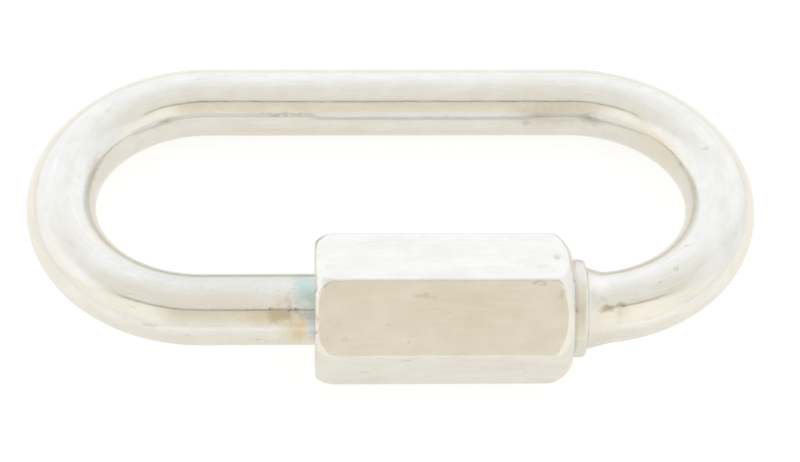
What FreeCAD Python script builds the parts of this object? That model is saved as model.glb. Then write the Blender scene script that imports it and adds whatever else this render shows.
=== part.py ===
"""Oval quick link: a bent wire body whose gate a hexagonal sleeve nut screws shut.

The link lies in the XY plane with the middle of its eye at the origin. Its length runs along X.
The far rail is on the +Y side and the gate rail, which carries the nut, is on the -Y side.
Lengths are in millimetres and angles in degrees.
"""

import FreeCAD
import Part
import math
import os

import Sketcher
from FreeCAD import Vector

# Driving dimensions: alias, value and what it is
SIZES = (
    ("wire_diameter", 3.5, "round wire, and the thread's nominal diameter"),
    ("overall_length", 37.0, "outside of one bow to outside of the other"),
    ("overall_width", 18.0, "outside of the far rail to outside of the gate rail"),
    ("gate_opening", 4.0, "gap between the two threaded ends"),
    ("stub_length", 1.5, "short threaded end, from the nut's seated face"),
    ("thread_mean_diameter", 3.08, "middle of the external thread's flanks"),
    ("thread_clearance", 0.03, "radial play between the two threads"),
    ("thread_lead_in", 0.25, "chamfer on each threaded end"),
    ("thread_relief", 0.05, "rod thread past the tapped length when the nut is run back"),
    ("collar_diameter", 4.8, "shoulder that the nut seats on"),
    ("collar_width", 0.64, "shoulder, along the rail"),
    ("collar_round", 0.12, "rounding of the shoulder's two rims"),
    ("collar_to_bend", 0.24, "shoulder's outer face to the start of the bend"),
    ("neck_diameter", 4.1, "thick end of the neck, at the shoulder"),
    ("neck_small_diameter", 3.2, "thin end of the neck, inside the wire"),
    ("neck_length", 1.5, "neck's taper, along the rail"),
    ("seat_gap", 0.08, "nut's seated face to the shoulder"),
    ("nut_length", 12.5, "sleeve nut, end to end"),
    ("nut_across_flats", 6.5, "hexagon, flat to flat"),
    ("nut_roll", 41.0, "how far one flat's normal is turned up from -Y"),
    ("nut_edge_round", 0.12, "rounding of the hexagon's long edges"),
    ("nut_front_diameter", 5.8, "flat ring left inside the front chamfer"),
    ("nut_front_chamfer", 0.88, "front chamfer at a corner, along the rail"),
    ("nut_front_crown", 2.2, "radius of the front chamfer's slight crown"),
    ("nut_back_round", 1.65, "radius of the rounded back end"),
    ("nut_back_depth", 1.1, "rounded back end at a corner, along the rail"),
    ("tapped_length", 6.85, "threaded part of the nut's bore"),
    ("tapped_wall", 0.63, "wall round the threaded part of the nut's bore"),
    ("tapped_seat_gap", 0.02, "play between that wall and the nut round it"),
    ("plain_bore_play", 0.1, "radial play of the nut's plain bore on the wire"),
    ("bore_mouth_chamfer", 0.15, "chamfer at the back mouth of the plain bore"),
)

# Sizes and places that follow from the driving dimensions, as expressions
WIRE_RADIUS = "(Sizes.wire_diameter / 2)"
RAIL_OFFSET = "((Sizes.overall_width - Sizes.wire_diameter) / 2)"
BEND_START = "((Sizes.overall_length - Sizes.overall_width) / 2)"
COLLAR_RADIUS = "(Sizes.collar_diameter / 2)"
COLLAR_OUTER = f"({BEND_START} - Sizes.collar_to_bend)"
COLLAR_SEAT = f"({COLLAR_OUTER} - Sizes.collar_width)"
NECK_END = f"({COLLAR_OUTER} + Sizes.neck_length)"
NUT_FRONT = f"({COLLAR_SEAT} - Sizes.seat_gap)"
NUT_BACK = f"({NUT_FRONT} - Sizes.nut_length)"
STUB_END = f"({NUT_FRONT} - Sizes.stub_length)"
ROD_END = f"({STUB_END} - Sizes.gate_opening)"
ROD_THREAD_ROOT = f"({ROD_END} - Sizes.tapped_length - Sizes.thread_relief)"
THREAD_RADIUS = "(Sizes.thread_mean_diameter / 2)"
THREAD_TIP_RADIUS = f"({THREAD_RADIUS} - Sizes.thread_lead_in)"
TAPPED_RADIUS = f"({THREAD_RADIUS} + Sizes.thread_clearance)"
TAPPED_OUTER_RADIUS = f"({TAPPED_RADIUS} + Sizes.tapped_wall)"
TAPPED_BACK = f"({NUT_FRONT} - Sizes.tapped_length)"
SEAT_RADIUS = f"({TAPPED_OUTER_RADIUS} + Sizes.tapped_seat_gap)"
SEAT_BACK = f"({TAPPED_BACK} - Sizes.tapped_seat_gap)"
PLAIN_BORE_RADIUS = f"({WIRE_RADIUS} + Sizes.plain_bore_play)"
MOUTH_RADIUS = f"({PLAIN_BORE_RADIUS} + Sizes.bore_mouth_chamfer)"
FLAT_RADIUS = "(Sizes.nut_across_flats / 2)"
CORNER_RADIUS = f"({FLAT_RADIUS} / cos(30))"
HALF_SIDE = f"({FLAT_RADIUS} * tan(30))"
OUTSIDE_NUT = f"({CORNER_RADIUS} + {WIRE_RADIUS})"
AXIS = "0"

# Sketcher's numbers for its own origin and for the points of a line or an arc
ROOT = -1
START = 1
END = 2
CENTRE = 3

FULL_TURN = 360
TOLERANCE = 1e-6

document = FreeCAD.newDocument("quick_link")
sheet = document.addObject("Spreadsheet::Sheet", "Sizes")
for row, (alias, size, meaning) in enumerate(SIZES, start=1):
    sheet.set(f"A{row}", meaning)
    sheet.set(f"B{row}", str(size))
    sheet.setAlias(f"B{row}", alias)
document.recompute()


def value(expression):
    """The number that an expression on the sheet's sizes comes to."""
    return float(sheet.evalExpression(expression))


def place(x, y):
    """The sketch point whose coordinates are given as expressions."""
    return Vector(value(x), value(y), 0)


def new_body(name):
    """A body whose label names the sub-part."""
    body = document.addObject("PartDesign::Body", name)
    body.Label = name
    return body


def new_sketch(body, name, plane):
    """A sketch on one of the body's own origin planes."""
    sketch = body.newObject("Sketcher::SketchObject", name)
    support = next(item for item in body.Origin.OriginFeatures if item.Role == plane)
    sketch.AttachmentSupport = [(support, "")]
    sketch.MapMode = "FlatFace"
    return sketch


def sketch_along_rail(body, name):
    """A sketch in the link's own plane, with its horizontal axis on the gate rail's axis."""
    sketch = new_sketch(body, name, "XY_Plane")
    sketch.setExpression("AttachmentOffset.Base.y", f"-{RAIL_OFFSET}")
    return sketch


def sketch_across_rail(body, name, x):
    """A sketch square to the gate rail and centred on its axis, at a place along it."""
    sketch = new_sketch(body, name, "YZ_Plane")
    sketch.setExpression("AttachmentOffset.Base.x", f"-{RAIL_OFFSET}")
    sketch.setExpression("AttachmentOffset.Base.z", x)
    return sketch


def bind(sketch, kind, points, expression):
    """Add a constraint whose size follows an expression."""
    index = sketch.addConstraint(Sketcher.Constraint(kind, *points, value(expression)))
    sketch.setExpression(f"Constraints[{index}]", expression)


def pin(sketch, geometry, point, x, y):
    """Hold a point of the sketch at coordinates given as expressions."""
    bind(sketch, "DistanceX", (ROOT, START, geometry, point), x)
    bind(sketch, "DistanceY", (ROOT, START, geometry, point), y)


def add_line(sketch, start, end):
    """A straight edge between two pinned points, each a pair of expressions."""
    line = sketch.addGeometry(Part.LineSegment(place(*start), place(*end)), False)
    pin(sketch, line, START, *start)
    pin(sketch, line, END, *end)
    return line


def add_chain(sketch, corners):
    """Straight edges joined end to end through corners, each a pair of expressions."""
    lines = [add_line(sketch, corners[0], corners[1])]
    for start, end in zip(corners[1:-1], corners[2:]):
        line = sketch.addGeometry(Part.LineSegment(place(*start), place(*end)), False)
        sketch.addConstraint(Sketcher.Constraint("Coincident", lines[-1], END, line, START))
        pin(sketch, line, END, *end)
        lines.append(line)
    return lines


def add_loop(sketch, corners):
    """A closed loop of straight edges through corners, each a pair of expressions."""
    lines = add_chain(sketch, corners)
    closing = sketch.addGeometry(Part.LineSegment(place(*corners[-1]), place(*corners[0])), False)
    sketch.addConstraint(Sketcher.Constraint("Coincident", lines[-1], END, closing, START))
    sketch.addConstraint(Sketcher.Constraint("Coincident", closing, END, lines[0], START))


def add_circle(sketch, radius):
    """A circle round the sketch's origin, its radius given as an expression."""
    circle = sketch.addGeometry(Part.Circle(place(AXIS, AXIS), Vector(0, 0, 1), value(radius)), False)
    sketch.addConstraint(Sketcher.Constraint("Coincident", circle, CENTRE, ROOT, START))
    bind(sketch, "Radius", (circle,), radius)


def add_arc(sketch, start, end, radius):
    """An anticlockwise arc of under half a turn between two line ends, each a line and a point."""
    first, last = sketch.getPoint(*start), sketch.getPoint(*end)
    chord = last - first
    rise = math.sqrt(value(radius) ** 2 - (chord.Length / 2) ** 2)
    inward = Vector(-chord.y, chord.x, 0).normalize()
    centre = (first + last) / 2 + inward * rise
    arc = join_with_arc(sketch, start, end, centre)
    bind(sketch, "Radius", (arc,), radius)


def add_half_circle(sketch, start, end, centre_x):
    """An anticlockwise half circle between two line ends, one above the other on the sketch."""
    middle = (sketch.getPoint(*start) + sketch.getPoint(*end)) / 2
    arc = join_with_arc(sketch, start, end, middle)
    bind(sketch, "DistanceX", (ROOT, START, arc, CENTRE), centre_x)


def join_with_arc(sketch, start, end, centre):
    """The arc itself, anticlockwise round a centre, with its ends held to the two line ends."""
    spokes = [sketch.getPoint(*joint) - centre for joint in (start, end)]
    circle = Part.Circle(centre, Vector(0, 0, 1), spokes[0].Length)
    angles = [math.atan2(spoke.y, spoke.x) for spoke in spokes]
    arc = sketch.addGeometry(Part.ArcOfCircle(circle, *angles), False)
    sketch.addConstraint(Sketcher.Constraint("Coincident", arc, START, *start))
    sketch.addConstraint(Sketcher.Constraint("Coincident", arc, END, *end))
    return arc


def turn(body, kind, sketch):
    """A revolution or a groove of a sketch, a full turn about the gate rail's axis."""
    feature = body.newObject(f"PartDesign::{kind}", f"{sketch.Name}_{kind.lower()}")
    feature.Profile = sketch
    feature.ReferenceAxis = (sketch, ["H_Axis"])
    feature.Angle = FULL_TURN
    document.recompute()


def round_edges(body, name, edges, radius):
    """Fillet the named edges of the body as it stands."""
    base = body.Tip
    rounding = body.newObject("PartDesign::Fillet", name)
    rounding.Base = (base, edges)
    rounding.setExpression("Radius", radius)
    document.recompute()


def rims_of_radius(shape, radius):
    """Names of the circles of one radius that run round the gate rail's axis."""
    names = []
    for number, edge in enumerate(shape.Edges, start=1):
        if edge.Curve.TypeId != "Part::GeomCircle":
            continue
        off_axis = math.hypot(edge.Curve.Center.y + value(RAIL_OFFSET), edge.Curve.Center.z)
        if off_axis < TOLERANCE and abs(edge.Curve.Radius - radius) < TOLERANCE:
            names.append(f"Edge{number}")
    return names


def edges_along_rail(shape):
    """Names of the straight edges that run along the gate rail."""
    names = []
    for number, edge in enumerate(shape.Edges, start=1):
        if edge.Curve.TypeId == "Part::GeomLine" and abs(edge.Curve.Direction.x) > 1 - TOLERANCE:
            names.append(f"Edge{number}")
    return names


def make_link_body():
    """Bent wire with a long threaded end, and a short one that grows from a shoulder."""
    body = new_body("link_body")
    near = f"-{RAIL_OFFSET}"
    left = f"-{BEND_START}"

    path = new_sketch(body, "wire_path", "XY_Plane")
    rod = add_line(path, (ROD_THREAD_ROOT, near), (left, near))
    far_rail = add_line(path, (left, RAIL_OFFSET), (BEND_START, RAIL_OFFSET))
    shoulder_run = add_line(path, (BEND_START, near), (COLLAR_OUTER, near))
    add_half_circle(path, (far_rail, START), (rod, END), left)
    add_half_circle(path, (shoulder_run, START), (far_rail, END), BEND_START)

    section = sketch_across_rail(body, "wire_section", ROD_THREAD_ROOT)
    add_circle(section, WIRE_RADIUS)
    document.recompute()
    wire = body.newObject("PartDesign::AdditivePipe", "wire")
    wire.Profile = section
    wire.Spine = path
    document.recompute()

    long_end = sketch_along_rail(body, "long_end")
    inside_wire = f"({ROD_THREAD_ROOT} - {WIRE_RADIUS})"
    add_loop(
        long_end,
        [
            (inside_wire, AXIS),
            (ROD_END, AXIS),
            (ROD_END, THREAD_TIP_RADIUS),
            (f"({ROD_END} - Sizes.thread_lead_in)", THREAD_RADIUS),
            (inside_wire, THREAD_RADIUS),
        ],
    )
    turn(body, "Revolution", long_end)

    short_end = sketch_along_rail(body, "short_end")
    add_loop(
        short_end,
        [
            (STUB_END, AXIS),
            (NECK_END, AXIS),
            (NECK_END, "(Sizes.neck_small_diameter / 2)"),
            (COLLAR_OUTER, "(Sizes.neck_diameter / 2)"),
            (COLLAR_OUTER, COLLAR_RADIUS),
            (COLLAR_SEAT, COLLAR_RADIUS),
            (COLLAR_SEAT, THREAD_RADIUS),
            (f"({STUB_END} + Sizes.thread_lead_in)", THREAD_RADIUS),
            (STUB_END, THREAD_TIP_RADIUS),
        ],
    )
    turn(body, "Revolution", short_end)
    rims = rims_of_radius(body.Shape, value(COLLAR_RADIUS))
    round_edges(body, "collar_rims", rims, "Sizes.collar_round")
    return body


def make_sleeve_thread():
    """The tapped part of the nut's bore, a ring bored to the middle of the thread's flanks."""
    body = new_body("sleeve_thread")
    section = sketch_across_rail(body, "tapped_section", TAPPED_BACK)
    add_circle(section, TAPPED_OUTER_RADIUS)
    add_circle(section, TAPPED_RADIUS)
    document.recompute()
    ring = body.newObject("PartDesign::Pad", "tapped_ring")
    ring.Profile = section
    ring.setExpression("Length", "Sizes.tapped_length")
    document.recompute()
    return body


def add_hexagon_bar(body):
    """The nut's hexagon, one flat's normal turned up from -Y, with its long edges rounded."""
    hexagon = sketch_across_rail(body, "hexagon", NUT_BACK)
    hexagon.setExpression("AttachmentOffset.Rotation.Angle", "-Sizes.nut_roll")
    add_loop(
        hexagon,
        [
            (FLAT_RADIUS, f"-{HALF_SIDE}"),
            (FLAT_RADIUS, HALF_SIDE),
            (AXIS, CORNER_RADIUS),
            (f"-{FLAT_RADIUS}", HALF_SIDE),
            (f"-{FLAT_RADIUS}", f"-{HALF_SIDE}"),
            (AXIS, f"-{CORNER_RADIUS}"),
        ],
    )
    document.recompute()
    bar = body.newObject("PartDesign::Pad", "hexagon_bar")
    bar.Profile = hexagon
    bar.setExpression("Length", "Sizes.nut_length")
    document.recompute()
    round_edges(body, "long_edges", edges_along_rail(body.Shape), "Sizes.nut_edge_round")


def cut_bore(body):
    """The bore: a seat for the tapped ring in front, plain behind, with a chamfered back mouth."""
    bore = sketch_along_rail(body, "bore")
    add_loop(
        bore,
        [
            (NUT_BACK, AXIS),
            (NUT_FRONT, AXIS),
            (NUT_FRONT, SEAT_RADIUS),
            (SEAT_BACK, SEAT_RADIUS),
            (SEAT_BACK, PLAIN_BORE_RADIUS),
            (f"({NUT_BACK} + Sizes.bore_mouth_chamfer)", PLAIN_BORE_RADIUS),
            (NUT_BACK, MOUTH_RADIUS),
        ],
    )
    turn(body, "Groove", bore)


def chamfer_front(body):
    """A slightly crowned chamfer that leaves a flat ring to seat on the shoulder."""
    front = sketch_along_rail(body, "front_chamfer")
    chamfer_start = f"({NUT_FRONT} - Sizes.nut_front_chamfer)"
    lines = add_chain(
        front,
        [
            (chamfer_start, CORNER_RADIUS),
            (chamfer_start, OUTSIDE_NUT),
            (NUT_FRONT, OUTSIDE_NUT),
            (NUT_FRONT, "(Sizes.nut_front_diameter / 2)"),
        ],
    )
    add_arc(front, (lines[-1], END), (lines[0], START), "Sizes.nut_front_crown")
    turn(body, "Groove", front)


def round_back(body):
    """A rounded back end, an arc that leaves the corners level and meets the end face."""
    back = sketch_along_rail(body, "back_round")
    round_start = f"({NUT_BACK} + Sizes.nut_back_depth)"
    round_centre = f"({CORNER_RADIUS} - Sizes.nut_back_round)"
    rise = "sqrt(Sizes.nut_back_round ^ 2 - Sizes.nut_back_depth ^ 2)"
    lines = add_chain(
        back,
        [
            (NUT_BACK, f"({round_centre} + {rise})"),
            (NUT_BACK, OUTSIDE_NUT),
            (round_start, OUTSIDE_NUT),
            (round_start, CORNER_RADIUS),
        ],
    )
    add_arc(back, (lines[-1], END), (lines[0], START), "Sizes.nut_back_round")
    turn(body, "Groove", back)


def make_sleeve_nut():
    """Hexagonal sleeve nut with its bore, its front chamfer and its rounded back end."""
    body = new_body("sleeve_nut")
    add_hexagon_bar(body)
    cut_bore(body)
    chamfer_front(body)
    round_back(body)
    return body


sub_parts = [make_link_body(), make_sleeve_thread(), make_sleeve_nut()]
document.recompute()

for item in document.Objects:
    if {"Invalid", "Error"} & set(item.State):
        raise SystemExit(f"{item.Label} failed: {item.State}")
for part in sub_parts:
    if part.Shape.isNull() or not part.Shape.isValid() or len(part.Shape.Solids) != 1:
        raise SystemExit(f"{part.Label} is not one valid solid")

os.makedirs("parts", exist_ok=True)
for part in sub_parts:
    part.Shape.exportStep(f"parts/{part.Label}.step")
    box = part.Shape.BoundBox
    print(f"{part.Label}: {part.Shape.Volume:.2f} mm3, x {box.XMin:.2f} to {box.XMax:.2f}")
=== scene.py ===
"""Looks of an oval quick link: a zinc-plated wire and its hexagonal sleeve nut, on a white floor."""

import math

import bpy
import numpy as np
from mathutils import Matrix, Vector


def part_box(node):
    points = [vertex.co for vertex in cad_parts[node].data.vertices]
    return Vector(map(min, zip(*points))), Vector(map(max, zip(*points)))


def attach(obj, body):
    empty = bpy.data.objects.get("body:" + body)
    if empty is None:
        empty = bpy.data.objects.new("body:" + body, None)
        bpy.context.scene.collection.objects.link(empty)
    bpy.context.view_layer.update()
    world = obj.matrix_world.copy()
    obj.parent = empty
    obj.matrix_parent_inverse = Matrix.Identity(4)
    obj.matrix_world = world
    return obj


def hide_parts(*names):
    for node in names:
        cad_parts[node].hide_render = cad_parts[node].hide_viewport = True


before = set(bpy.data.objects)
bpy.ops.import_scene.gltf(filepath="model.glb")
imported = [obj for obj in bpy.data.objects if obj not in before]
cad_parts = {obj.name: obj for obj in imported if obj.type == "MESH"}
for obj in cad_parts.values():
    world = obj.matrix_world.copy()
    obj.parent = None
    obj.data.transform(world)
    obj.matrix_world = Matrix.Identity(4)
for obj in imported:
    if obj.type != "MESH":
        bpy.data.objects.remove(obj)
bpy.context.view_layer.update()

# Lengths are in millimetres up to the point where a mesh is made
MM = 0.001
PER_MM = 1000

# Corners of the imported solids' boxes
link_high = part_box("link_body")[1] * PER_MM
nut_low, nut_high = (corner * PER_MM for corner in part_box("sleeve_nut"))
tapped_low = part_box("sleeve_thread")[0] * PER_MM

# The wire: half its thickness, its rails' distance from the middle, and where they start to bend
WIRE_RADIUS = 1.75
RAIL_OFFSET = link_high.y - WIRE_RADIUS
BEND_START = link_high.x - link_high.y

# Places along the gate rail, which lies along X
STUB_LENGTH = 1.5
GATE_OPENING = 4.0
NUT_FRONT = nut_high.x
NUT_BACK = nut_low.x
TAPPED_BACK = tapped_low.x
STUB_END = NUT_FRONT - STUB_LENGTH
ROD_END = STUB_END - GATE_OPENING

# The shoulder that the nut seats on, its two rounded rims, and the neck behind it
SEAT_PLAY = 0.08
COLLAR_WIDTH = 0.64
COLLAR_OUTER = NUT_FRONT + SEAT_PLAY + COLLAR_WIDTH
COLLAR_RADIUS = 2.4
COLLAR_ROUND = 0.2
SEAT_LIP = NUT_FRONT + 0.02
SEAT_ROUND = 0.26
NECK_RADIUS = 2.05
NECK_FLARE = 1.25
NECK_POWER = 1.6
NECK_REACH = 1.3

# The threads. The crest's end and the root's start are shares of the pitch from a crest's middle
THREAD_PITCH = 0.6
THREAD_DEPTH = 0.368
THREAD_RUNOUT = 0.33
THREAD_CREST = 0.0625
THREAD_ROOT = 0.375
THREAD_PLAY = 0.03
ROD_THREAD_BACK = NUT_BACK + 0.05
STUB_RUNOUT_START = NUT_FRONT - 0.37
STUB_RUNOUT_END = NUT_FRONT - 0.04
TIP_RADIUS = 1.29

# The nut's hexagon: half its width across flats, its roll, and the rounding of its long edges
HEX_FLAT = 3.25
HEX_ROLL = math.radians(41.0)
HEX_ROUND = 0.16
HALF_SIDE = math.radians(30)
HEX_CORNER = HEX_FLAT / math.cos(HALF_SIDE)

# The nut's crowned front, rounded back and bore
FRONT_RING = 2.9
FRONT_DEPTH = 0.88
FRONT_CROWN = 2.2
BACK_RING = 2.85
BACK_DEPTH = 1.1
BACK_ROUND = 1.65
EDGE_SOFTNESS = 0.18
FRONT_SOFTNESS = 0.6 * EDGE_SOFTNESS
CORNER_TIGHTNESS = 0.7
END_SOFTNESS = 0.13
RING_DROP = 0.006
BORE_RADIUS = 1.85
MOUTH_RADIUS = 2.0
MOUTH_CHAMFER = 0.02

# Distances along the wire's centreline, from the tip of its long threaded end
BOW_LENGTH = math.pi * RAIL_OFFSET
BESIDE_NUT = ROD_END - NUT_BACK
LEFT_BOW = ROD_END + BEND_START
FAR_RAIL = LEFT_BOW + BOW_LENGTH
RIGHT_BOW = FAR_RAIL + 2 * BEND_START
GATE_RAIL = RIGHT_BOW + BOW_LENGTH
STUB_TIP = GATE_RAIL + BEND_START - STUB_END

# How finely the wire's mesh is divided
WIRE_SIDES = 72
THREAD_STEP = 0.03
THREAD_MARGIN = 0.2
RAIL_STEP = 0.25
BOW_RINGS = 96
FAR_RINGS = 60
NECK_STEP = 0.06
NECK_CLEARANCE = 0.02
SHARP_STEP = 0.001
RIM_ANGLES = (15, 30, 45, 60, 75, 90)
RIM_TOLERANCE = 0.002

# How finely the nut's mesh is divided: shares of a flat's half, angles over a long edge, radii of
# the flat rings at its ends, and shares of the ends and of the sides between them
FLAT_SHARES = (-1, -0.94, -0.7, -0.45, -0.22, 0, 0.22, 0.45, 0.7, 0.94, 1)
EDGE_ANGLES = (-15, 0, 15)
SOFT_SHARES = (0, 0.25, 0.5, 0.75, 1)
BACK_RING_RADII = (2.1, 2.5, BACK_RING)
FRONT_RING_RADII = (FRONT_RING - 0.04, 2.5, 2.2, MOUTH_RADIUS + 0.03)
BACK_SHARES = (0.2, 0.4, 0.55, 0.7, 0.85)
SIDE_SHARES = (0.04, 0.2, 0.4, 0.6, 0.8, 0.96)
FRONT_SHARES = (0.2, 0.4, 0.6, 0.8, 0.93)
PLAIN_BORE_ROWS = 12
PLAIN_BORE_END = NUT_BACK + 0.15

# Tints of the plating, with the cream of painted highlights; the grey also paints a shade edge
CYAN = (0.56, 0.66, 0.65, 1)
TEAL = (0.50, 0.57, 0.53, 1)
SKY = (0.62, 0.71, 0.73, 1)
SAGE = (0.50, 0.60, 0.52, 1)
LAVENDER = (0.53, 0.55, 0.65, 1)
ROSE = (0.62, 0.53, 0.49, 1)
BEIGE = (0.76, 0.69, 0.58, 1)
TAN = (0.60, 0.53, 0.38, 1)
STRAW = (0.76, 0.69, 0.50, 1)
AMBER = (0.76, 0.61, 0.44, 1)
RUST = (0.42, 0.31, 0.17, 1)
GREY = (0.42, 0.42, 0.38, 1)
SOOT = (0.26, 0.25, 0.20, 1)
SMOKE = (0.70, 0.70, 0.66, 1)
UMBER = (0.52, 0.48, 0.40, 1)
BLUSH = (0.82, 0.70, 0.60, 1)
# Pale cream, painted on as highlights where the wire would reflect bright light
PAINTED_HIGHLIGHT = (0.98, 0.95, 0.87, 1)

# Marks on the wire, as if it were straight: distance along it from the long threaded end,
# then outward and upward from its axis; half-widths the same way; strength; colour
WIRE_MARKS = (
    # A broad grey patch that darkens the top of the near rail, left of the nut
    ((10.5, -0.55, 1.65), (8.0, 1.0, 0.8), 0.85, SMOKE),
    ((53.5, -1.6, 0.6), (3.0, 0.6, 0.9), 0.3, UMBER),
    ((BESIDE_NUT + 2.3, 1.35, 1.1), (1.5, 0.5, 0.7), 0.7, BEIGE),
    ((BESIDE_NUT + 0.95, 1.6, 0.35), (1.0, 0.8, 1.3), 0.65, STRAW),
    ((BESIDE_NUT + 1.75, 1.35, 1.1), (0.65, 0.38, 0.5), 0.9, TAN),
    ((BESIDE_NUT + 0.75, 1.68, 0.35), (0.55, 0.4, 0.7), 0.85, AMBER),
    ((BESIDE_NUT + 1.25, 1.3, 1.15), (0.3, 0.42, 0.6), 0.9, ROSE),
    ((BESIDE_NUT + 0.9, 1.2, 1.27), (0.3, 0.25, 0.3), 0.8, SAGE),
    ((BESIDE_NUT + 0.2, 1.35, 1.1), (0.6, 0.4, 0.5), 0.95, LAVENDER),
    ((BESIDE_NUT, 1.6, 0.5), (0.35, 0.35, 0.95), 0.9, LAVENDER),
    ((BESIDE_NUT + 0.1, 1.62, 0.62), (0.25, 0.25, 0.4), 0.8, SKY),
    ((BESIDE_NUT + 1.6, 0.85, 1.5), (0.5, 0.4, 0.3), 0.6, BEIGE),
    ((BESIDE_NUT + 0.45, 0.1, 1.75), (0.8, 1.5, 1.0), 1.0, CYAN),
    ((BESIDE_NUT + 0.1, 0.7, 1.6), (0.35, 0.6, 0.4), 0.7, TEAL),
    ((BESIDE_NUT + 1.25, 0.8, 1.55), (0.22, 0.4, 0.35), 0.45, ROSE),
    ((BESIDE_NUT + 1.1, 1.15, 1.32), (0.32, 0.09, 0.08), 0.8, SOOT),
    ((BESIDE_NUT + 2.15, 1.15, 1.32), (0.12, 0.09, 0.08), 0.6, SOOT),
    ((9.8, 1.73, -0.2), (0.4, 0.1, 0.1), 0.4, GREY),
    ((9.35, 1.71, -0.36), (0.25, 0.1, 0.08), 0.4, GREY),
    ((14.5, 1.68, 0.48), (0.35, 0.12, 0.14), 0.4, GREY),
    ((19.55, 0.48, 1.68), (0.4, 0.12, 0.2), 0.15, GREY),
    ((23.85, -0.5, 1.68), (0.8, 0.3, 0.3), 0.08, GREY),
    ((25.25, -1.45, 1.0), (2.6, 0.25, 0.45), 0.35, UMBER),
    ((29.5, -0.2, 1.74), (0.35, 0.14, 0.2), 0.2, GREY),
    ((39.4, -1.6, 0.7), (1.9, 0.12, 0.1), 0.35, GREY),
    ((52.0, -1.74, 0.2), (0.35, 0.12, 0.22), 0.5, UMBER),
    ((55.7, -1.7, 0.42), (1.3, 0.2, 0.35), 0.45, UMBER),
    ((61.2, -1.54, 0.82), (2.4, 0.3, 0.5), 0.5, BLUSH),
    ((63.3, -1.57, 0.77), (0.4, 0.2, 0.25), 0.45, TAN),
    ((63.45, -0.36, 1.71), (0.22, 0.16, 0.2), 0.3, GREY),
    # Two faint grey marks on the right bow: one is scratches, the other a painted shade edge
    ((67.5, 0.05, 1.75), (0.9, 0.4, 0.3), 0.12, GREY),
    ((69.25, 0.93, 1.48), (1.0, 0.4, 0.4), 0.12, GREY),
    ((71.15, -0.42, 1.7), (0.2, 0.14, 0.15), 0.35, GREY),
    ((72.7, 0.24, 1.73), (0.2, 0.14, 0.15), 0.35, GREY),
    ((73.8, 0.48, 1.68), (0.25, 0.1, 0.15), 0.3, GREY),
    # Two cream patches, on the right bow's end and on the neck, are painted highlights
    ((75.4, 1.5, 0.85), (2.4, 0.6, 0.85), 0.3, PAINTED_HIGHLIGHT),
    ((76.7, 0.1, 1.9), (0.7, 0.7, 0.4), 0.5, PAINTED_HIGHLIGHT),
    ((77.7, 1.2, 1.9), (0.32, 2.2, 2.4), 0.55, BEIGE),
    ((60.5, -1.7, 0.25), (4.0, 0.35, 0.9), 0.35, STRAW),
    ((76.5, 1.17, 1.3), (0.35, 0.22, 0.22), 0.7, RUST),
    ((75.9, 1.1, 1.36), (0.25, 0.1, 0.1), 0.6, RUST),
    ((76.6, 0.86, 1.52), (0.3, 0.14, 0.12), 0.45, TAN),
    ((78.0, 1.66, 1.73), (0.25, 0.22, 0.22), 0.6, RUST),
)

# Marks on the nut, at places in the frame: centre, half-widths, strength and colour
NUT_MARKS = (
    ((-1.6, -8.7, 3.2), (2.6, 0.5, 0.6), 0.25, BLUSH),
    ((6.7, -8.6, 3.4), (0.4, 0.12, 0.12), 0.5, GREY),
    ((1.3, -9.0, 2.95), (0.7, 0.16, 0.16), 0.35, UMBER),
    ((-2.3, -10.35, 1.35), (0.4, 0.14, 0.14), 0.25, UMBER),
    ((7.85, -8.95, 3.0), (0.22, 0.25, 0.25), 0.3, GREY),
    ((7.75, -6.8, 3.2), (0.28, 0.25, 0.2), 0.4, GREY),
    ((7.0, -7.5, 3.36), (0.5, 0.15, 0.12), 0.15, GREY),
    ((-1.3, -5.6, 3.0), (0.9, 0.12, 0.12), 0.15, GREY),
    ((-3.2, -7.5, 3.36), (0.4, 0.3, 0.12), 0.15, GREY),
    ((0.45, -10.77, 0.25), (0.35, 0.12, 0.16), 0.4, GREY),
    ((6.25, -10.2, -1.35), (0.12, 0.1, 0.12), 0.4, GREY),
    ((-1.6, -10.25, -1.3), (0.5, 0.12, 0.14), 0.2, GREY),
    ((NUT_BACK + 0.08, -9.7, 2.15), (0.12, 0.28, 0.3), 0.5, RUST),
    ((NUT_BACK + 0.08, -10.15, 1.6), (0.12, 0.14, 0.16), 0.55, RUST),
    ((NUT_BACK + 0.1, -10.7, 1.0), (0.14, 0.14, 0.14), 0.5, RUST),
    ((NUT_BACK + 0.1, -8.2, 3.5), (0.14, 0.12, 0.14), 0.4, RUST),
)

# A mark is full inside the first share of its half-widths and gone at the second. Its edge is
# ragged by a share of them, and its place sways by up to half of so many millimetres
SPOT_FADE = (0.25, 1.2)
RAGGED_EDGE = 0.8
SWAY = 0.5
SWAY_SCALE = 2.5
SWAY_DETAIL = 2.0

# The plating, dull and bright, on each piece, and the mottle's values between which it changes
WIRE_PLATE = ((0.80, 0.79, 0.755, 1), (0.85, 0.845, 0.815, 1))
NUT_PLATE = ((0.83, 0.815, 0.78, 1), (0.88, 0.87, 0.84, 1))
MOTTLE_RANGE = (0.3, 0.7)
PIT_RANGE = (0.72, 0.78)

# Noises that follow the drawn wire: cycles per millimetre along it, outward and upward, or along
# X, Y and Z on the nut; detail; roughness; distortion
DRAWN_NOISES = {
    "cloud": ((0.16, 0.4, 0.4), 3.0, 0.55, 0.0),
    "mottle": ((0.8, 1.3, 1.3), 5.0, 0.6, 0.0),
    "streaks": ((0.3, 4.0, 4.0), 3.0, 0.6, 0.0),
    "hairlines": ((0.7, 18.0, 18.0), 2.0, 0.5, 0.0),
    "pits": ((2.6, 4.5, 4.5), 3.0, 0.6, 0.6),
    "smudges": ((1.1, 2.6, 2.6), 4.0, 0.7, 0.0),
}

# Noises that are alike in all directions: cycles per millimetre, detail and roughness
EVEN_NOISES = {
    "grain": (11.0, 3.0, 0.6),
    "waves": (1.1, 2.0, 0.5),
    "ragged": (5.0, 3.0, 0.6),
}

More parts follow.
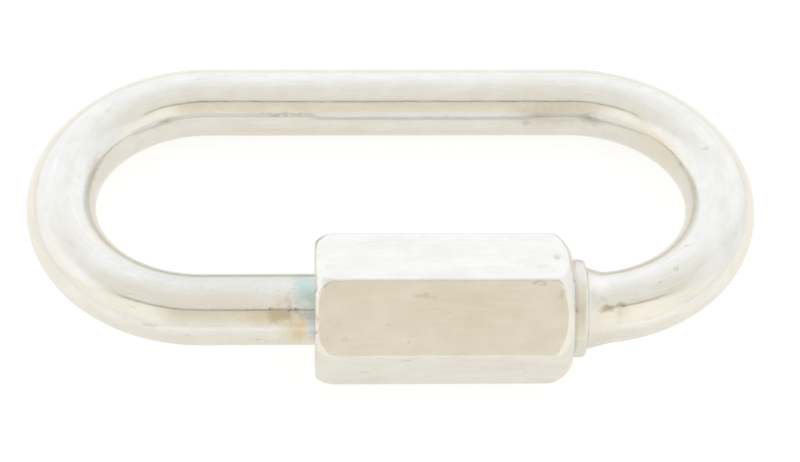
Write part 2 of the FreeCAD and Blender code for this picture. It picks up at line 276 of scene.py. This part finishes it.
# What the noises do: values where each begins and is full, then its strength and colour, or its
# roughness, and last its height in microns
PLATE_COLOURS = (
    ("cloud", (0.5, 0.7), 0.4, (0.77, 0.725, 0.645, 1)),
    ("streaks", (0.52, 0.75), 0.45, (0.91, 0.91, 0.895, 1)),
    ("smudges", (0.62, 0.74), 0.3, (0.56, 0.54, 0.48, 1)),
    ("pits", PIT_RANGE, 0.55, (0.36, 0.33, 0.27, 1)),
)
PLATE_ROUGHNESS = (
    ("mottle", MOTTLE_RANGE, 0.06),
    ("hairlines", (0.5, 0.75), 0.05),
    ("smudges", (0.6, 0.75), 0.10),
)
PLATE_RELIEF = (("mottle", 2.5), ("waves", 9.0), ("grain", 0.45), ("hairlines", 0.3))
PIT_RELIEF = -4.0
MICRON = 0.000001
LEAST_ROUGHNESS = 0.10

# The duller plating of the neck: centre and half-widths on the straight wire, and its roughness
NECK_PATCH = ((77.3, 0, 0), (1.3, 20, 20))
NECK_ROUGHNESS = 0.22

# The floor: half its side, its matt colour, and the colours it glows in, for the camera and in
# reflections, which change with the distance from its middle: in reflections a painted shadow,
# darker and warmer, under the link, a warm cream around it and a plain grey far out. Its lengths are
# in metres
FLOOR_HALF = 1.5
PAPER_MATT = (0.35, 0.35, 0.35, 1)
PAPER_GLOW = 0.7
# Darker and warmer: the painted shadow of the link, seen only in reflections
PAPER_PAINTED_SHADOW = (0.92, 0.89, 0.82, 1)
PAPER_AROUND = (1.04, 1.0, 0.93, 1)
PAPER_FAR = (0.90, 0.90, 0.89, 1)
PAPER_SEEN = (1.12, 1.12, 1.12, 1)
AROUND_RANGE = (0.012, 0.024)
FAR_RANGE = (0.03, 0.06)

# The studio's light by the angle in degrees from the front, over the top, to the back
STUDIO_STOPS = (
    (-180, (0.97, 0.97, 0.97, 1)),
    (-10, (0.92, 0.90, 0.83, 1)),
    (5, (0.92, 0.87, 0.77, 1)),
    (25, (0.87, 0.81, 0.67, 1)),
    (42, (0.83, 0.77, 0.635, 1)),
    (55, (0.88, 0.845, 0.755, 1)),
    (95, (0.93, 0.92, 0.87, 1)),
    (140, (1.10, 1.12, 1.15, 1)),
    (175, (1.09, 1.10, 1.12, 1)),
)

# Its sides: how far sideways they begin and are full, how left blends into right, and the warmer
# light low down at the sides of the front
SIDES_RANGE = (0.65, 0.9)
SIDES_BLEND = (-0.8, 0.8)
LEFT_LIGHT = (1.11, 1.11, 1.10, 1)
RIGHT_LIGHT = (0.99, 0.995, 0.985, 1)
LOW_SIDES_RANGE = (0.22, 0.5)
LOW_SIDES_TOP = (math.radians(44), math.radians(54))
LOW_SIDES_LIGHT = (1.06, 1.01, 0.91, 1)

# Its dark gap: height, how much that rises towards the sides, where its edges and its ends fade
GAP_HEIGHT = math.radians(47)
GAP_RISE = 0.45
GAP_EDGE = (0.015, 0.05)
GAP_ENDS = (0.6, 0.72)
GAP_STRENGTH = 0.78
GAP_LIGHT = (0.12, 0.11, 0.1, 1)
SEEN_LIGHT = (1, 1, 1, 1)

# The camera as fitted to the photograph: azimuth, elevation and roll in degrees, the place that
# it aims at and how far that is, and its focal length in pixels
CAMERA_ANGLES = (-3.09, 47.015, 2.117)
CAMERA_AIM = Vector((0.361, -2.047, 0))
CAMERA_DISTANCE = 125.25
FOCAL_PIXELS = 2487.74
PHOTO_WIDTH = 800
SENSOR_WIDTH = 36
NEAREST_SEEN = 0.001
FARTHEST_SEEN = 10


def smoothstep(low, high, x):
    """0 below low, 1 above high and a smooth rise between them."""
    t = np.clip((x - low) / (high - low), 0, 1)
    return t * t * (3 - 2 * t)


def thread_depth(x, angle, widen=0.0):
    """How deep a right-hand thread is at a place along the rail and an angle about -X."""
    phase = np.mod(-x / THREAD_PITCH - angle / (2 * math.pi), 1)
    from_crest = np.minimum(phase, 1 - phase)
    return THREAD_DEPTH * smoothstep(THREAD_CREST + widen, THREAD_ROOT + widen, from_crest)


def mesh_object(name, points, faces):
    """A smooth-shaded mesh object from points in millimetres."""
    mesh = bpy.data.meshes.new(name)
    mesh.from_pydata([tuple(point) for point in np.asarray(points) * MM], [], faces)
    mesh.validate()
    mesh.update()
    mesh.shade_smooth()
    piece = bpy.data.objects.new(name, mesh)
    bpy.context.scene.collection.objects.link(piece)
    return piece


def rim_steps(rounding):
    """Distances from a rounded rim's face at which it needs rings."""
    return rounding * (1 - np.cos(np.radians(RIM_ANGLES)))


def link_stations():
    """Distances along the wire's centreline at which its mesh has rings."""
    threaded = BESIDE_NUT + THREAD_MARGIN
    collar_out = GATE_RAIL + BEND_START - COLLAR_OUTER
    collar_in = GATE_RAIL + BEND_START - SEAT_LIP
    return np.concatenate(
        [
            np.arange(0, threaded, THREAD_STEP),
            np.arange(threaded, LEFT_BOW, RAIL_STEP),
            np.linspace(LEFT_BOW, FAR_RAIL, BOW_RINGS, endpoint=False),
            np.linspace(FAR_RAIL, RIGHT_BOW, FAR_RINGS, endpoint=False),
            np.linspace(RIGHT_BOW, GATE_RAIL - NECK_REACH, BOW_RINGS, endpoint=False),
            np.arange(GATE_RAIL - NECK_REACH, collar_out - NECK_CLEARANCE, NECK_STEP),
            [collar_out, collar_out + SHARP_STEP],
            collar_out + rim_steps(COLLAR_ROUND),
            collar_in - rim_steps(SEAT_ROUND)[::-1],
            [collar_in, collar_in + SHARP_STEP],
            np.arange(collar_in + THREAD_STEP, STUB_TIP, THREAD_STEP),
            [STUB_TIP],
        ]
    )


def link_centreline(stations):
    """Centre and outward direction of the wire at each station."""
    corners = (0, LEFT_BOW, FAR_RAIL, RIGHT_BOW, GATE_RAIL, STUB_TIP)
    bend_x = (ROD_END, -BEND_START, -BEND_START, BEND_START, BEND_START, STUB_END)
    middles = np.zeros((len(stations), 3))
    middles[:, 0] = np.interp(stations, corners, bend_x)
    turned = np.clip(stations - LEFT_BOW, 0, BOW_LENGTH)
    turned += np.clip(stations - RIGHT_BOW, 0, BOW_LENGTH)
    turned /= RAIL_OFFSET
    outward = np.stack([-np.sin(turned), -np.cos(turned), np.zeros_like(turned)], -1)
    return middles + RAIL_OFFSET * outward, outward


def threaded_radius(x, angles, depth_share, from_tip):
    """Radius of a threaded end with its run-out and its chamfered tip."""
    return np.minimum(WIRE_RADIUS - depth_share * thread_depth(x, angles), TIP_RADIUS + from_tip)


def link_radii(stations, angles):
    """Radius of the wire at each station and angle, with its threads, neck and shoulder."""
    s = stations[:, None]
    angles = angles[None, :]
    x_rod = ROD_END - s
    x_stub = BEND_START - (s - GATE_RAIL)
    by_collar = s > GATE_RAIL - NECK_REACH

    depth_share = smoothstep(ROD_THREAD_BACK, ROD_THREAD_BACK + THREAD_RUNOUT, x_rod)
    rod = threaded_radius(x_rod, angles, depth_share, s)
    radius = np.where(s < BESIDE_NUT, rod, WIRE_RADIUS)

    depth_share = 1 - smoothstep(STUB_RUNOUT_START, STUB_RUNOUT_END, x_stub)
    stub = threaded_radius(x_stub, angles, depth_share, x_stub - STUB_END)
    on_stub = by_collar & (x_stub < SEAT_LIP - SHARP_STEP / 2)
    radius = np.where(on_stub, stub, radius)

    reach = np.clip((x_stub - COLLAR_OUTER) / NECK_FLARE, 0, 1)
    neck = WIRE_RADIUS + (NECK_RADIUS - WIRE_RADIUS) * (1 - reach) ** NECK_POWER
    radius = np.where(by_collar & (x_stub > COLLAR_OUTER), neck, radius)

    from_seat = (x_stub - SEAT_LIP) / SEAT_ROUND
    from_rim = np.minimum(from_seat, (COLLAR_OUTER - x_stub) / COLLAR_ROUND)
    lean = np.clip(1 - from_rim, 0, 1)
    collar = COLLAR_RADIUS - COLLAR_ROUND * (1 - np.sqrt(1 - lean**2))
    return np.where(by_collar & (from_rim > -RIM_TOLERANCE), collar, radius)


def tube_faces(rings):
    """Faces of a closed tube whose last two points are the middles of its first and last ring."""
    faces = []
    for ring in range(rings - 1):
        for side in range(WIRE_SIDES):
            a = ring * WIRE_SIDES + side
            b = ring * WIRE_SIDES + (side + 1) % WIRE_SIDES
            faces.append((a, b, b + WIRE_SIDES, a + WIRE_SIDES))
    first_middle = rings * WIRE_SIDES
    last_middle = first_middle + 1
    last_ring = first_middle - WIRE_SIDES
    for side in range(WIRE_SIDES):
        after = (side + 1) % WIRE_SIDES
        faces.append((first_middle, after, side))
        faces.append((last_middle, last_ring + side, last_ring + after))
    return faces


def make_link():
    """The bent wire with its two threaded ends, neck and shoulder, as one closed mesh."""
    stations = link_stations()
    angles = np.linspace(0, 2 * math.pi, WIRE_SIDES, endpoint=False)
    centres, outward = link_centreline(stations)
    radius = link_radii(stations, angles)
    across = np.cos(angles) * radius
    rise = np.sin(angles) * radius
    points = centres[:, None, :] + across[..., None] * outward[:, None, :]
    points[..., 2] += rise
    points = np.concatenate([points.reshape(-1, 3), centres[[0, -1]]])

    straight = np.stack([np.broadcast_to(stations[:, None], radius.shape), across, rise], -1)
    tips = [(stations[0], 0, 0), (stations[-1], 0, 0)]
    straight = np.concatenate([straight.reshape(-1, 3), tips])
    piece = mesh_object("wire_link", points, tube_faces(len(stations)))
    attribute = piece.data.attributes.new("straight", "FLOAT_VECTOR", "POINT")
    attribute.data.foreach_set("vector", straight.astype(np.float32).ravel())
    return piece


def hexagon_outline():
    """Angles and radii round the nut's hexagon, each long edge rounded."""
    edge_centre = (HEX_FLAT - HEX_ROUND) / math.cos(HALF_SIDE)
    half_flat = (HEX_FLAT - HEX_ROUND) * math.tan(HALF_SIDE)
    angles, radii = [], []
    for side in range(6):
        normal = HEX_ROLL + 2 * HALF_SIDE * side
        for share in FLAT_SHARES:
            along = share * half_flat
            angles.append(normal + math.atan2(along, HEX_FLAT))
            radii.append(math.hypot(along, HEX_FLAT))
        for lean in EDGE_ANGLES:
            out = edge_centre + HEX_ROUND * math.cos(math.radians(lean))
            along = HEX_ROUND * math.sin(math.radians(lean))
            angles.append(normal + HALF_SIDE + math.atan2(along, out))
            radii.append(math.hypot(along, out))
    return np.array(angles), np.array(radii)


def soft_corner(before, corner, after):
    """Points of a small curve that stands in for a sharp corner."""
    return [
        (1 - t) ** 2 * before + 2 * t * (1 - t) * corner + t**2 * after for t in SOFT_SHARES
    ]


def front_profile(radius):
    """Where the crowned front chamfer has a radius."""
    start = Vector((NUT_FRONT, FRONT_RING))
    end = Vector((NUT_FRONT - FRONT_DEPTH, HEX_CORNER))
    chord = end - start
    inward = Vector((-chord.y, chord.x)).normalized()
    centre = (start + end) / 2 + inward * math.sqrt(FRONT_CROWN**2 - (chord.length / 2) ** 2)
    return centre.x + np.sqrt(FRONT_CROWN**2 - (radius - centre.y) ** 2)


def back_profile(radius):
    """Where the rounded back end has a radius, running softly into the flat ring there."""
    middle = HEX_CORNER - BACK_ROUND
    depth = BACK_DEPTH - np.sqrt(BACK_ROUND**2 - (radius - middle) ** 2)
    return NUT_BACK + 0.5 * (depth + np.sqrt(depth**2 + END_SOFTNESS**2))


def round_row(x, radius, outside):
    """A row of the nut's section that is the same all round."""
    return np.full_like(outside, x), np.full_like(outside, radius)


def back_rows(outside):
    """The nut's section from its back ring over the rounded end to the hexagon's sides."""
    rows = [round_row(NUT_BACK, radius, outside) for radius in BACK_RING_RADII]
    towards_corner = smoothstep(HEX_FLAT, outside.max(), outside)
    inner = outside - EDGE_SOFTNESS * (1 - CORNER_TIGHTNESS * towards_corner)
    for share in BACK_SHARES:
        radius = BACK_RING + share * (inner - BACK_RING)
        rows.append((back_profile(radius), radius))
    edge = back_profile(outside)
    before = np.stack([back_profile(inner), inner])
    after = np.stack([edge + EDGE_SOFTNESS, outside])
    return rows + soft_corner(before, np.stack([edge, outside]), after)


def front_rows(outside):
    """The nut's section from the hexagon's sides over the crowned chamfer to the bore's mouth."""
    back = back_profile(outside) + EDGE_SOFTNESS
    edge = front_profile(outside)
    front = edge - EDGE_SOFTNESS
    rows = [(back + share * (front - back), outside) for share in SIDE_SHARES]
    inner = outside - FRONT_SOFTNESS
    before = np.stack([front, outside])
    after = np.stack([front_profile(inner), inner])
    rows += soft_corner(before, np.stack([edge, outside]), after)
    for share in FRONT_SHARES:
        radius = inner - share * (inner - FRONT_RING)
        rows.append((front_profile(radius), radius))
    rows.append(round_row(NUT_FRONT - RING_DROP, FRONT_RING, outside))
    return rows + [round_row(NUT_FRONT, radius, outside) for radius in FRONT_RING_RADII]


def bore_rows(angles):
    """The nut's section along its bore: countersink, right-hand thread, plain bore, back mouth."""
    rows = []
    for x in np.arange(NUT_FRONT, TAPPED_BACK, -THREAD_STEP):
        depth = thread_depth(x, angles, widen=THREAD_PLAY)
        ridge = smoothstep(TAPPED_BACK, TAPPED_BACK + THREAD_RUNOUT, x)
        plain = BORE_RADIUS + (WIRE_RADIUS + THREAD_PLAY - BORE_RADIUS) * ridge
        countersink = MOUTH_RADIUS - (NUT_FRONT - x)
        rows.append((np.full_like(angles, x), np.maximum(plain - ridge * depth, countersink)))
    for x in np.linspace(TAPPED_BACK, PLAIN_BORE_END, PLAIN_BORE_ROWS):
        rows.append(round_row(x, BORE_RADIUS, angles))
    rows.append(round_row(NUT_BACK + MOUTH_CHAMFER, MOUTH_RADIUS - MOUTH_CHAMFER, angles))
    rows.append(round_row(NUT_BACK, MOUTH_RADIUS + MOUTH_CHAMFER, angles))
    return rows


def make_nut():
    """The hexagonal sleeve nut with its tapped bore, as one closed mesh."""
    angles, outside = hexagon_outline()
    rows = back_rows(outside) + front_rows(outside) + bore_rows(angles)
    columns = len(angles)
    points = []
    for x, radius in rows:
        y = -RAIL_OFFSET - radius * np.cos(angles)
        points.append(np.stack([x, y, radius * np.sin(angles)], -1))
    faces = []
    for row in range(len(rows)):
        here = row * columns
        there = (row + 1) % len(rows) * columns
        for column in range(columns):
            after = (column + 1) % columns
            faces.append((here + column, there + column, there + after, here + after))
    return mesh_object("sleeve_hex", np.concatenate(points), faces)


class Nodes:
    """Short calls to build one node tree."""

    def __init__(self, tree):
        self.tree = tree
        tree.nodes.clear()

    def add(self, kind, inputs=None, **settings):
        """A node with settings and inputs, each input a value or another node's socket."""
        node = self.tree.nodes.new(kind)
        for name, setting in settings.items():
            setattr(node, name, setting)
        for name, source in (inputs or {}).items():
            socket = node.inputs[name]
            if isinstance(source, bpy.types.NodeSocket):
                self.tree.links.new(source, socket)
            else:
                socket.default_value = source
        return node

    def math(self, operation, a, b=0.0, c=0.0):
        return self.add("ShaderNodeMath", {0: a, 1: b, 2: c}, operation=operation).outputs[0]

    def vector(self, operation, a, b):
        return self.add("ShaderNodeVectorMath", {0: a, 1: b}, operation=operation).outputs[0]

    def length(self, vector):
        return self.add("ShaderNodeVectorMath", {0: vector}, operation="LENGTH").outputs["Value"]

    def noise(self, vector, scale, detail, roughness, distortion=0.0):
        inputs = {
            "Vector": vector,
            "Scale": scale,
            "Detail": detail,
            "Roughness": roughness,
            "Distortion": distortion,
        }
        return self.add("ShaderNodeTexNoise", inputs).outputs["Fac"]

    def rise(self, factor, low, high):
        """0 where the factor is below low, 1 above high."""
        inputs = {"Value": factor, "From Min": low, "From Max": high}
        return self.add("ShaderNodeMapRange", inputs, interpolation_type="SMOOTHSTEP").outputs[0]

    def fall(self, factor, low, high):
        """1 where the factor is below low, 0 above high."""
        return self.math("SUBTRACT", 1.0, self.rise(factor, low, high))

    def mix(self, factor, a, b):
        """Colour a where the factor is 0, colour b where it is 1."""
        return self.add("ShaderNodeMix", {0: factor, 6: a, 7: b}, data_type="RGBA").outputs[2]

    def spot(self, vector, centre, size, ragged=0.0):
        """1 inside a patch round a place, fading out at its edge, size being its half-widths."""
        offset = self.vector("SUBTRACT", vector, centre)
        distance = self.length(self.vector("MULTIPLY", offset, tuple(1 / half for half in size)))
        return self.fall(self.math("ADD", distance, ragged), *SPOT_FADE)


def plate_noises(nodes, place, along):
    """The noises of the plating, by name."""
    noises = {}
    for name, (scales, *settings) in DRAWN_NOISES.items():
        noises[name] = nodes.noise(nodes.vector("MULTIPLY", along, scales), 1.0, *settings)
    for name, settings in EVEN_NOISES.items():
        noises[name] = nodes.noise(place, *settings)
    return noises


def plate_colour(nodes, noises, place, along, plate, marks):
    """Colour of the plating, with its mottle, clouds, streaks, smudges, pits and marks."""
    colour = nodes.mix(nodes.rise(noises["mottle"], *MOTTLE_RANGE), *plate)
    for name, span, strength, tint in PLATE_COLOURS:
        mask = nodes.rise(noises[name], *span)
        colour = nodes.mix(nodes.math("MULTIPLY", mask, strength), colour, tint)
    ragged = nodes.math("MULTIPLY_ADD", noises["ragged"], RAGGED_EDGE, -RAGGED_EDGE / 2)
    sway = {"Vector": place, "Scale": SWAY_SCALE, "Detail": SWAY_DETAIL}
    sway = nodes.add("ShaderNodeTexNoise", sway).outputs["Color"]
    sway = nodes.vector("ADD", sway, (-0.5, -0.5, -0.5))
    sway = nodes.vector("MULTIPLY", sway, (SWAY, SWAY, SWAY))
    swayed = nodes.vector("ADD", along, sway)
    for centre, size, strength, tint in marks:
        mask = nodes.spot(swayed, centre, size, ragged)
        colour = nodes.mix(nodes.math("MULTIPLY", mask, strength), colour, tint)
    return colour


def plate_roughness(nodes, noises, along, wire):
    """Roughness of the plating: duller in mottles, hairlines and smudges, and on the neck."""
    rough = LEAST_ROUGHNESS
    for name, span, amount in PLATE_ROUGHNESS:
        rough = nodes.math("MULTIPLY_ADD", nodes.rise(noises[name], *span), amount, rough)
    if wire:
        rough = nodes.math("MULTIPLY_ADD", nodes.spot(along, *NECK_PATCH), NECK_ROUGHNESS, rough)
    return rough


def plate_bump(nodes, noises):
    """Relief of the plating: shallow waves, grain, hairlines and pits."""
    height = 0.0
    for name, microns in PLATE_RELIEF:
        height = nodes.math("MULTIPLY_ADD", noises[name], microns, height)
    pits = nodes.rise(noises["pits"], *PIT_RANGE)
    height = nodes.math("MULTIPLY_ADD", pits, PIT_RELIEF, height)
    inputs = {"Strength": 1.0, "Distance": MICRON, "Height": height}
    return nodes.add("ShaderNodeBump", inputs).outputs[0]


def zinc_material(name, plate, marks, wire):
    """Bright zinc plate with the grain of drawn wire or of a turned nut, and its marks."""
    material = bpy.data.materials.new(name)
    material.use_nodes = True
    nodes = Nodes(material.node_tree)
    place = nodes.add("ShaderNodeTexCoord").outputs["Object"]
    place = nodes.vector("MULTIPLY", place, (PER_MM, PER_MM, PER_MM))
    along = place
    if wire:
        along = nodes.add("ShaderNodeAttribute", attribute_name="straight").outputs["Vector"]
    noises = plate_noises(nodes, place, along)
    inputs = {
        "Base Color": plate_colour(nodes, noises, place, along, plate, marks),
        "Metallic": 1.0,
        "Roughness": plate_roughness(nodes, noises, along, wire),
        "Normal": plate_bump(nodes, noises),
    }
    shader = nodes.add("ShaderNodeBsdfPrincipled", inputs).outputs[0]
    nodes.add("ShaderNodeOutputMaterial", {"Surface": shader})
    return material


def paper_material():
    """White paper that takes the link's shadow and glows for the camera and in reflections, where
    its glow is a painted shadow, darker and warmer, under the link.
    """
    material = bpy.data.materials.new("white_floor")
    material.use_nodes = True
    nodes = Nodes(material.node_tree)
    rays = nodes.add("ShaderNodeLightPath").outputs
    seen = nodes.math("MAXIMUM", rays["Is Camera Ray"], rays["Is Glossy Ray"])
    seen = nodes.math("MAXIMUM", seen, rays["Is Transmission Ray"])
    from_middle = nodes.length(nodes.add("ShaderNodeTexCoord").outputs["Object"])
    # In reflections the glow is a painted shadow close under the link, then warm cream, then grey
    # far out
    paper = nodes.mix(nodes.rise(from_middle, *AROUND_RANGE), PAPER_PAINTED_SHADOW, PAPER_AROUND)
    paper = nodes.mix(nodes.rise(from_middle, *FAR_RANGE), paper, PAPER_FAR)
    paper = nodes.mix(rays["Is Camera Ray"], paper, PAPER_SEEN)
    glow = {"Color": paper, "Strength": nodes.math("MULTIPLY", seen, PAPER_GLOW)}
    glow = nodes.add("ShaderNodeEmission", glow).outputs[0]
    matt = nodes.add("ShaderNodeBsdfDiffuse", {"Color": PAPER_MATT}).outputs[0]
    both = nodes.add("ShaderNodeAddShader", {0: matt, 1: glow}).outputs[0]
    nodes.add("ShaderNodeOutputMaterial", {"Surface": both})
    return material


def make_floor():
    """The floor that carries the link: it touches the nut's corner circle and the far rail."""
    tilt = math.asin((HEX_CORNER - WIRE_RADIUS) / (2 * RAIL_OFFSET))
    up = Vector((0, -math.sin(tilt), math.cos(tilt)))
    middle = Vector((0, -RAIL_OFFSET, 0)) - up * HEX_CORNER
    mesh = bpy.data.meshes.new("floor")
    corners = [(x * FLOOR_HALF, y * FLOOR_HALF, 0) for x, y in ((-1, -1), (1, -1), (1, 1), (-1, 1))]
    mesh.from_pydata(corners, [], [(0, 1, 2, 3)])
    mesh.materials.append(paper_material())
    floor = bpy.data.objects.new("floor", mesh)
    bpy.context.scene.collection.objects.link(floor)
    floor.matrix_world = Matrix.Translation(middle * MM) @ Matrix.Rotation(tilt, 4, "X")


def studio_light(nodes, angle):
    """The studio's light by the angle from the front, over the top, to the back."""
    turn = nodes.math("MULTIPLY_ADD", angle, 0.5 / math.pi, 0.5)
    ramp = nodes.add("ShaderNodeValToRGB", {0: turn})
    while len(ramp.color_ramp.elements) < len(STUDIO_STOPS):
        ramp.color_ramp.elements.new(0.5)
    for element, (degrees, colour) in zip(ramp.color_ramp.elements, STUDIO_STOPS):
        element.position = (degrees + 180) / 360
        element.color = colour
    return ramp.outputs[0]


def make_light():
    """A pale studio, creamy in front and white behind and beside, with a dark gap in front."""
    world = bpy.data.worlds.new("studio")
    bpy.context.scene.world = world
    world.use_nodes = True
    nodes = Nodes(world.node_tree)
    direction = nodes.add("ShaderNodeTexCoord").outputs["Generated"]
    x, y, z = nodes.add("ShaderNodeSeparateXYZ", {0: direction}).outputs[:3]
    aside = nodes.math("ABSOLUTE", x)
    angle = nodes.math("ARCTAN2", z, nodes.math("MULTIPLY", y, -1.0))

    sides = nodes.mix(nodes.rise(x, *SIDES_BLEND), LEFT_LIGHT, RIGHT_LIGHT)
    room = nodes.mix(nodes.rise(aside, *SIDES_RANGE), studio_light(nodes, angle), sides)
    low = nodes.fall(angle, *LOW_SIDES_TOP)
    low_sides = nodes.math("MULTIPLY", low, nodes.rise(aside, *LOW_SIDES_RANGE))
    room = nodes.mix(low_sides, room, LOW_SIDES_LIGHT)

    height = nodes.math("MULTIPLY_ADD", nodes.math("MULTIPLY", x, x), GAP_RISE, GAP_HEIGHT)
    from_gap = nodes.math("ABSOLUTE", nodes.math("SUBTRACT", angle, height))
    gap = nodes.math("MULTIPLY", nodes.fall(from_gap, *GAP_EDGE), nodes.fall(aside, *GAP_ENDS))
    room = nodes.mix(nodes.math("MULTIPLY", gap, GAP_STRENGTH), room, GAP_LIGHT)

    camera_ray = nodes.add("ShaderNodeLightPath").outputs["Is Camera Ray"]
    colour = nodes.mix(camera_ray, room, SEEN_LIGHT)
    background = nodes.add("ShaderNodeBackground", {"Color": colour, "Strength": 1.0}).outputs[0]
    nodes.add("ShaderNodeOutputWorld", {"Surface": background})


def make_camera():
    """The photograph's view of the link."""
    azimuth, elevation, roll = (math.radians(angle) for angle in CAMERA_ANGLES)
    ahead = Vector((math.sin(azimuth), -math.cos(azimuth), 0))
    back = math.cos(elevation) * ahead + Vector((0, 0, math.sin(elevation)))
    level = Vector((math.cos(azimuth), math.sin(azimuth), 0))
    upright = back.cross(level)
    right = math.cos(roll) * level + math.sin(roll) * upright
    up = math.cos(roll) * upright - math.sin(roll) * level
    data = bpy.data.cameras.new("camera")
    data.sensor_width = SENSOR_WIDTH
    data.lens = FOCAL_PIXELS * SENSOR_WIDTH / PHOTO_WIDTH
    data.clip_start = NEAREST_SEEN
    data.clip_end = FARTHEST_SEEN
    camera = bpy.data.objects.new("camera", data)
    bpy.context.scene.collection.objects.link(camera)
    turn = Matrix((right, up, back)).transposed().to_4x4()
    camera.matrix_world = Matrix.Translation((CAMERA_AIM + back * CAMERA_DISTANCE) * MM) @ turn
    bpy.context.scene.camera = camera


link = make_link()
link.data.materials.append(zinc_material("zinc_wire", WIRE_PLATE, WIRE_MARKS, wire=True))
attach(link, "link")
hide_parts("link_body")

nut = make_nut()
nut.data.materials.append(zinc_material("zinc_nut", NUT_PLATE, NUT_MARKS, wire=False))
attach(nut, "sleeve")
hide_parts("sleeve_nut", "sleeve_thread")

make_floor()
make_light()
make_camera()
bpy.context.scene.view_settings.view_transform = "Standard"
